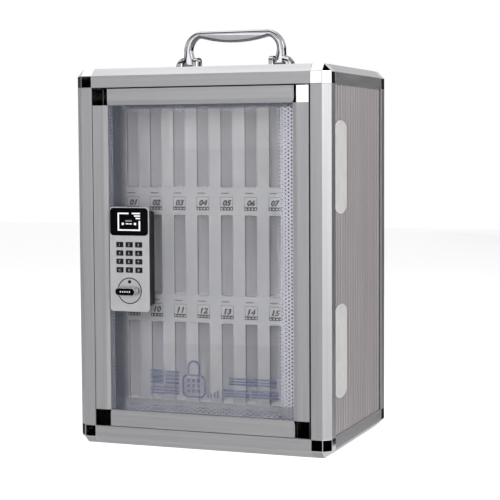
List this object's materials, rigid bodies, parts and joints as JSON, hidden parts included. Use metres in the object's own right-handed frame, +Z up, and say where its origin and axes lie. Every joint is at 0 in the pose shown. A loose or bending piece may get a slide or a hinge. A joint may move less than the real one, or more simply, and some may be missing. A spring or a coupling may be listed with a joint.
{
  "type": "cell phone locker box",
  "caption": "Lockable box for mobile phones: bevelled aluminium edge frame, glazed door with keypad lock, rack of numbered slots inside, folding carrying handle on top.",
  "frame": {"origin": "centre of the underside of the base board", "axes": "+Z up, +Y from the door to the back, +X to the right as seen from the front, where the door's pivots are"},
  "size_m": [0.281, 0.2297, 0.44],
  "materials": {
    "frame_aluminium": "satin silver anodised extrusion",
    "chrome": "bright chrome plate",
    "reeded_panel": "fine vertical reeding, warm grey laminate",
    "base_board": "plain grey laminate",
    "cover_plate": "smooth matt light grey",
    "bearing_nylon": "natural nylon",
    "black_rubber": "matt black",
    "rack_plastic": "smooth light grey moulding",
    "bright_steel": "zinc plated",
    "door_aluminium": "satin silver anodised extrusion",
    "clear_pane": "clear, with a printed dotted border",
    "black_housing": "fine moulded texture",
    "silver_lock": "satin silver paint on a zinc casting",
    "black_window": "gloss black with a white card pictogram",
    "red_lamp": "dark red lens",
    "green_board": "solder mask",
    "cell_jacket": "plain printed jacket",
    "key_black": "black with white numerals"
  },
  "bodies": {
    "case": {"front_post_left": "frame_aluminium", "front_post_right": "frame_aluminium", "rear_posts": "frame_aluminium", "front_rail_bottom": "frame_aluminium", "front_rail_top": "frame_aluminium", "rear_rail_bottom": "frame_aluminium", "rear_rail_top": "frame_aluminium", "side_rails_bottom": "frame_aluminium", "side_rails_top": "frame_aluminium", "corner_connectors": "chrome", "side_panel_left": "reeded_panel", "side_panel_right": "reeded_panel", "back_panel": "reeded_panel", "top_panel": "reeded_panel", "base_board": "base_board", "side_cover_plates": "cover_plate", "hinge_blocks": "bearing_nylon", "door_stop_strips": "black_rubber", "rack_sides": "rack_plastic", "rack_shelves": "rack_plastic", "rack_bands": "rack_plastic", "dividers_row_1": "rack_plastic", "dividers_row_2": "rack_plastic", "dividers_row_3": "rack_plastic", "handle_foot_left": "chrome", "handle_foot_right": "chrome", "handle_pins": "bright_steel", "handle_screws": "bright_steel"},
    "bail": {"handle_bail": "chrome"},
    "door": {"door_stile_left": "door_aluminium", "door_stile_right": "door_aluminium", "door_rail_bottom": "door_aluminium", "door_rail_top": "door_aluminium", "door_corners": "chrome", "door_pane": "clear_pane", "pane_gasket": "black_rubber", "hinge_pins": "bright_steel", "lock_base": "black_housing", "lock_cover": "silver_lock", "display_window": "black_window", "status_lamp": "red_lamp", "circuit_board": "green_board", "battery_housing": "black_housing", "battery_cover": "black_housing", "battery_cells": "cell_jacket", "lock_screws": "bright_steel"},
    "latch": {"thumb_turn": "silver_lock", "cam": "bright_steel"},
    "key_1": {"key_1": "key_black"},
    "key_2": {"key_2": "key_black"},
    "key_3": {"key_3": "key_black"},
    "key_4": {"key_4": "key_black"},
    "key_5": {"key_5": "key_black"},
    "key_6": {"key_6": "key_black"},
    "key_7": {"key_7": "key_black"},
    "key_8": {"key_8": "key_black"},
    "key_9": {"key_9": "key_black"},
    "key_clear": {"key_clear": "key_black"},
    "key_0": {"key_0": "key_black"},
    "key_enter": {"key_enter": "key_black"}
  },
  "joints": [
    {"name": "bail_fold", "type": "hinge", "parent": "case", "child": "bail", "pos_m": [0, 0, 0.4045], "axis": [1, 0, 0], "range_deg": [-88, 88]},
    {"name": "door_swing", "type": "hinge", "parent": "case", "child": "door", "pos_m": [0.1158, -0.1018, 0], "axis": [0, 0, 1], "range_deg": [0, 105]},
    {"name": "latch_turn", "type": "hinge", "parent": "door", "child": "latch", "pos_m": [-0.07525, 0, 0.1656], "axis": [0, -1, 0], "range_deg": [0, 90]},
    {"name": "key_1_press", "type": "slide", "parent": "door", "child": "key_1", "axis": [0, 1, 0], "range_m": [0, 0.0009], "stiffness_N_per_m": 400, "springref_m": -0.0005},
    {"name": "key_2_press", "type": "slide", "parent": "door", "child": "key_2", "axis": [0, 1, 0], "range_m": [0, 0.0009], "stiffness_N_per_m": 400, "springref_m": -0.0005},
    {"name": "key_3_press", "type": "slide", "parent": "door", "child": "key_3", "axis": [0, 1, 0], "range_m": [0, 0.0009], "stiffness_N_per_m": 400, "springref_m": -0.0005},
    {"name": "key_4_press", "type": "slide", "parent": "door", "child": "key_4", "axis": [0, 1, 0], "range_m": [0, 0.0009], "stiffness_N_per_m": 400, "springref_m": -0.0005},
    {"name": "key_5_press", "type": "slide", "parent": "door", "child": "key_5", "axis": [0, 1, 0], "range_m": [0, 0.0009], "stiffness_N_per_m": 400, "springref_m": -0.0005},
    {"name": "key_6_press", "type": "slide", "parent": "door", "child": "key_6", "axis": [0, 1, 0], "range_m": [0, 0.0009], "stiffness_N_per_m": 400, "springref_m": -0.0005},
    {"name": "key_7_press", "type": "slide", "parent": "door", "child": "key_7", "axis": [0, 1, 0], "range_m": [0, 0.0009], "stiffness_N_per_m": 400, "springref_m": -0.0005},
    {"name": "key_8_press", "type": "slide", "parent": "door", "child": "key_8", "axis": [0, 1, 0], "range_m": [0, 0.0009], "stiffness_N_per_m": 400, "springref_m": -0.0005},
    {"name": "key_9_press", "type": "slide", "parent": "door", "child": "key_9", "axis": [0, 1, 0], "range_m": [0, 0.0009], "stiffness_N_per_m": 400, "springref_m": -0.0005},
    {"name": "key_clear_press", "type": "slide", "parent": "door", "child": "key_clear", "axis": [0, 1, 0], "range_m": [0, 0.0009], "stiffness_N_per_m": 400, "springref_m": -0.0005},
    {"name": "key_0_press", "type": "slide", "parent": "door", "child": "key_0", "axis": [0, 1, 0], "range_m": [0, 0.0009], "stiffness_N_per_m": 400, "springref_m": -0.0005},
    {"name": "key_enter_press", "type": "slide", "parent": "door", "child": "key_enter", "axis": [0, 1, 0], "range_m": [0, 0.0009], "stiffness_N_per_m": 400, "springref_m": -0.0005}
  ]
}
